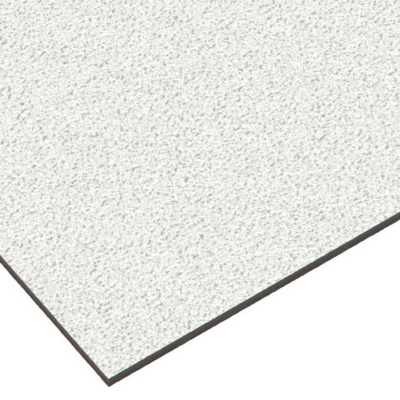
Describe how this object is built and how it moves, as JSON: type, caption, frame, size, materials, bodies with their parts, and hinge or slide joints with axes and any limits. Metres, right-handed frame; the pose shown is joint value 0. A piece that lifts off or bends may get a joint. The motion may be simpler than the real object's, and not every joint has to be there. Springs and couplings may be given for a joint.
{
  "type": "suspended ceiling tile",
  "caption": "Square lay-in suspended ceiling tile: a flat pressed fibre board with square-cut dark edges and a white, finely pitted face that rests on the ceiling grid.",
  "frame": {"origin": "centre of the tile's back, on the surface that the tile lies on", "axes": "+Z out of the finished face, X and Y along the tile's edges"},
  "size_m": [0.595, 0.595, 0.015],
  "materials": {
    "white_board": "matt white paint on the pitted face of a pressed mineral-fibre board, with bare dark cut edges"
  },
  "bodies": {
    "root": {"tile": "white_board"}
  },
  "joints": []
}
